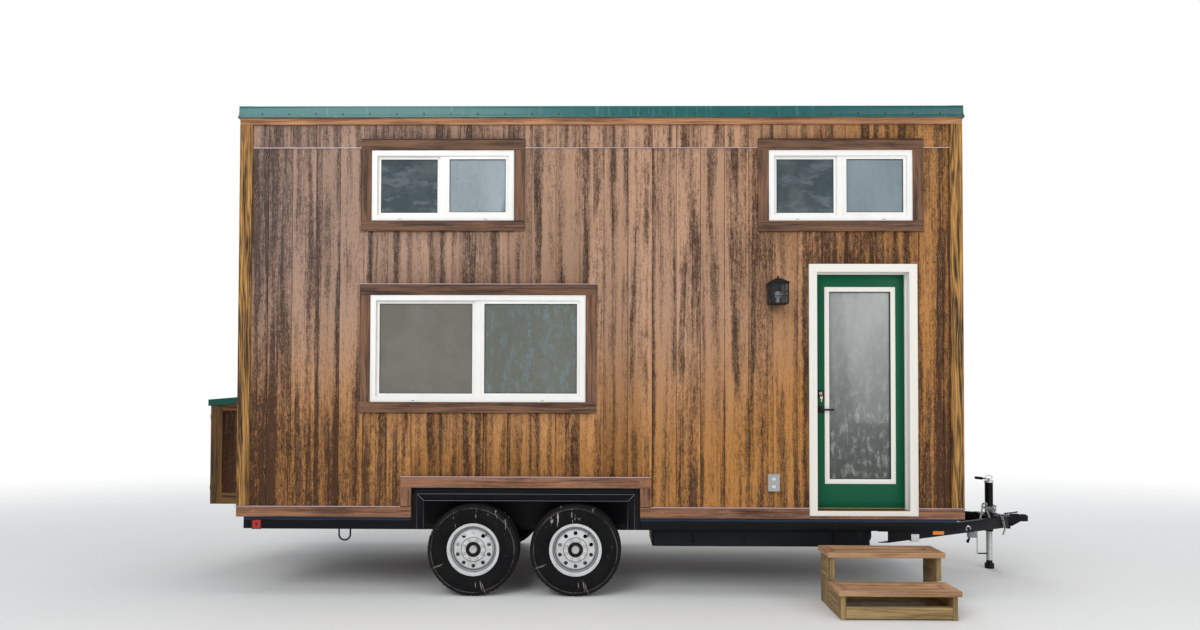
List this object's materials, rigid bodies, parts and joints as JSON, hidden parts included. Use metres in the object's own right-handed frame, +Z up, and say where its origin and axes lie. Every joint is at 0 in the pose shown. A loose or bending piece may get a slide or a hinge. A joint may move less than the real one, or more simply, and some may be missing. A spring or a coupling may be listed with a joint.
{
  "type": "tiny house on wheels",
  "caption": "Single-pitch wooden tiny house with vertical boards, slider windows and glazed door, on a tandem-axle trailer with hitch, jack and loose entry steps.",
  "frame": {"origin": "centre of the whole footprint, on the ground the tyres stand on", "axes": "+X towards the hitch, -Y towards the entrance side, +Z up"},
  "size_m": [7.769, 3.2476, 4.1385],
  "materials": {
    "siding_wood": "weathered stained vertical boards",
    "trim_wood": "oiled cedar boards",
    "skirt_wood": "dark stained board",
    "wall_core": "framed and panelled wall",
    "floor_wood": "plywood deck",
    "deck_lumber": "treated step lumber",
    "roof_metal": "teal green coated steel",
    "flashing_metal": "pale coated drip flashing",
    "window_vinyl": "off-white vinyl",
    "white_paint": "white painted frame",
    "door_green": "satin green paint",
    "window_glass": "clear glazing",
    "screen_mesh": "charcoal insect mesh",
    "black_hardware": "matte black",
    "frame_black": "black trailer enamel",
    "galvanised": "galvanised tube",
    "tyre_rubber": "road-worn tread",
    "wheel_white": "white wheel enamel",
    "tank_black": "moulded tank",
    "lamp_red": "red lens",
    "lamp_amber": "amber lens",
    "outlet_grey": "weatherproof cover",
    "lantern_clear": "seeded glass",
    "cabinet_wood": "stained cabinet boards"
  },
  "bodies": {
    "root": {"axles": "frame_black", "back_wall": "wall_core", "cabinet_roof": "roof_metal", "corner_boards": "trim_wood", "coupler": "frame_black", "crossmembers": "frame_black", "door_frame": "white_paint", "floor_deck": "floor_wood", "frieze_boards": "trim_wood", "front_wall_left": "wall_core", "front_wall_right": "wall_core", "front_wall_upper": "wall_core", "insect_screens": "screen_mesh", "jack_housing": "frame_black", "lantern": "black_hardware", "lantern_glass": "lantern_clear", "leaf_springs": "frame_black", "left_end_wall": "wall_core", "main_rails": "frame_black", "marker_lights": "lamp_amber", "outdoor_outlet": "outlet_grey", "right_end_wall": "wall_core", "rim_rails": "frame_black", "roof_deck": "wall_core", "roof_flashing": "roof_metal", "roof_panels": "roof_metal", "siding_back": "siding_wood", "siding_ends": "siding_wood", "siding_front": "siding_wood", "skirt_boards": "skirt_wood", "step_frame": "deck_lumber", "step_treads": "deck_lumber", "tail_lights": "lamp_red", "tie_down_loops": "frame_black", "tongue_beams": "frame_black", "trim_flashings": "flashing_metal", "underfloor_tank": "tank_black", "utility_cabinet": "cabinet_wood", "wheel_well_frames": "frame_black", "wheel_well_trim": "skirt_wood", "wheel_wells": "frame_black", "window_casings": "trim_wood", "window_frames": "window_vinyl", "window_glass": "window_glass", "window_sashes": "window_vinyl"},
    "door": {"door_glass": "window_glass", "door_lite_frame": "white_paint", "door_plates": "black_hardware", "door_slab": "door_green"},
    "lever": {"door_levers": "black_hardware"},
    "jack_crank": {"jack_crank": "black_hardware"},
    "jack_leg": {"jack_leg": "galvanised"},
    "wheel_back_left": {"rim_back_left": "wheel_white", "tyre_back_left": "tyre_rubber"},
    "wheel_back_right": {"rim_back_right": "wheel_white", "tyre_back_right": "tyre_rubber"},
    "wheel_front_left": {"rim_front_left": "wheel_white", "tyre_front_left": "tyre_rubber"},
    "wheel_front_right": {"rim_front_right": "wheel_white", "tyre_front_right": "tyre_rubber"}
  },
  "joints": [
    {"name": "door_hinge", "type": "hinge", "parent": "root", "child": "door", "pos_m": [2.285, -0.80785, 1.735], "axis": [0, 0, -1], "range_deg": [0, 100]},
    {"name": "lever_turn", "type": "hinge", "parent": "door", "child": "lever", "pos_m": [1.5655, -0.86085, 1.578], "axis": [0, 1, 0], "range_deg": [0, 45], "stiffness_Nm_per_rad": 1.2, "springref_deg": -20.05},
    {"name": "jack_leg_slide", "type": "slide", "parent": "root", "child": "jack_leg", "axis": [0, 0, 1], "range_m": [0, 0.25]},
    {"name": "jack_crank_turn", "type": "hinge", "parent": "root", "child": "jack_crank", "pos_m": [3.5075, 0.31715, 0.862], "axis": [0, 0, 1], "continuous": true},
    {"name": "wheel_front_left_spin", "type": "hinge", "parent": "root", "child": "wheel_front_left", "pos_m": [-1.3735, -0.81535, 0.388], "axis": [0, 1, 0], "continuous": true},
    {"name": "wheel_back_left_spin", "type": "hinge", "parent": "root", "child": "wheel_back_left", "pos_m": [-1.3735, 1.44965, 0.388], "axis": [0, 1, 0], "continuous": true},
    {"name": "wheel_front_right_spin", "type": "hinge", "parent": "root", "child": "wheel_front_right", "pos_m": [-0.5075, -0.81535, 0.388], "axis": [0, 1, 0], "continuous": true},
    {"name": "wheel_back_right_spin", "type": "hinge", "parent": "root", "child": "wheel_back_right", "pos_m": [-0.5075, 1.44965, 0.388], "axis": [0, 1, 0], "continuous": true}
  ]
}
